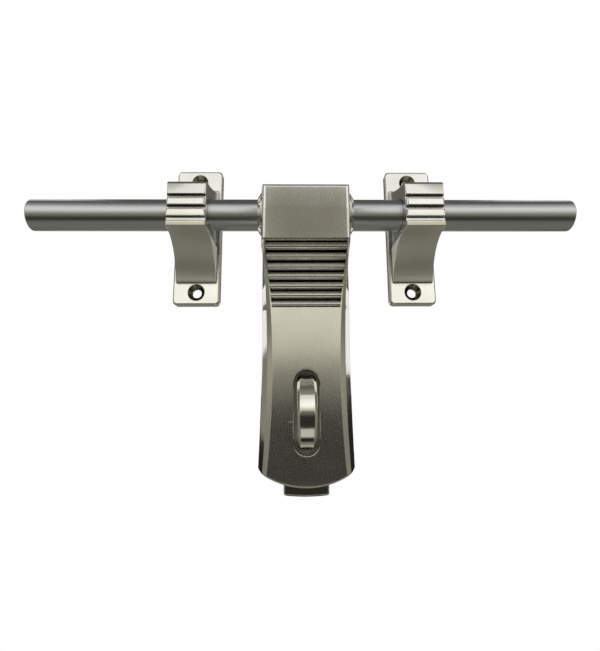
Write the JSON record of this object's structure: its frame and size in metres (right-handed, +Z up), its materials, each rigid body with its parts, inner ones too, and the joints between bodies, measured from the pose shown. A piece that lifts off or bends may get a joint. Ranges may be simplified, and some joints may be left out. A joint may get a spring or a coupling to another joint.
{
  "type": "aldrop bolt",
  "caption": "Sliding door bolt for a padlock: a round bar runs in ribbed brackets and carries a waisted hasp whose slot drops over a staple loop.",
  "frame": {"origin": "on the door, at the centre of the four bracket screw holes", "axes": "+X along the bolt to the right seen from the front, +Y into the door, +Z up; the front faces -Y"},
  "size_m": [0.242, 0.0325, 0.1539],
  "materials": {
    "brushed_steel_rod": "bright drawn steel bar, brushed along its length",
    "nickel_casting": "casting, polished and nickel plated",
    "blackened_steel_screw": "blackened alloy steel"
  },
  "bodies": {
    "base": {"left_bracket": "nickel_casting", "right_bracket": "nickel_casting", "staple": "nickel_casting"},
    "bolt": {"rod": "brushed_steel_rod"},
    "flap": {"hasp": "nickel_casting", "set_screw": "blackened_steel_screw"}
  },
  "joints": [
    {"name": "bolt_slide", "type": "slide", "parent": "base", "child": "bolt", "axis": [-1, 0, 0], "range_m": [0, 0.02]},
    {"name": "hasp_swing", "type": "hinge", "parent": "bolt", "child": "flap", "pos_m": [0, -0.02, 0.0035], "axis": [-1, 0, 0], "range_deg": [0, 190]}
  ],
  "couplings": [
    {"joint": "bolt_slide", "follows": "hasp_swing", "m_per_rad": 0.00603}
  ]
}
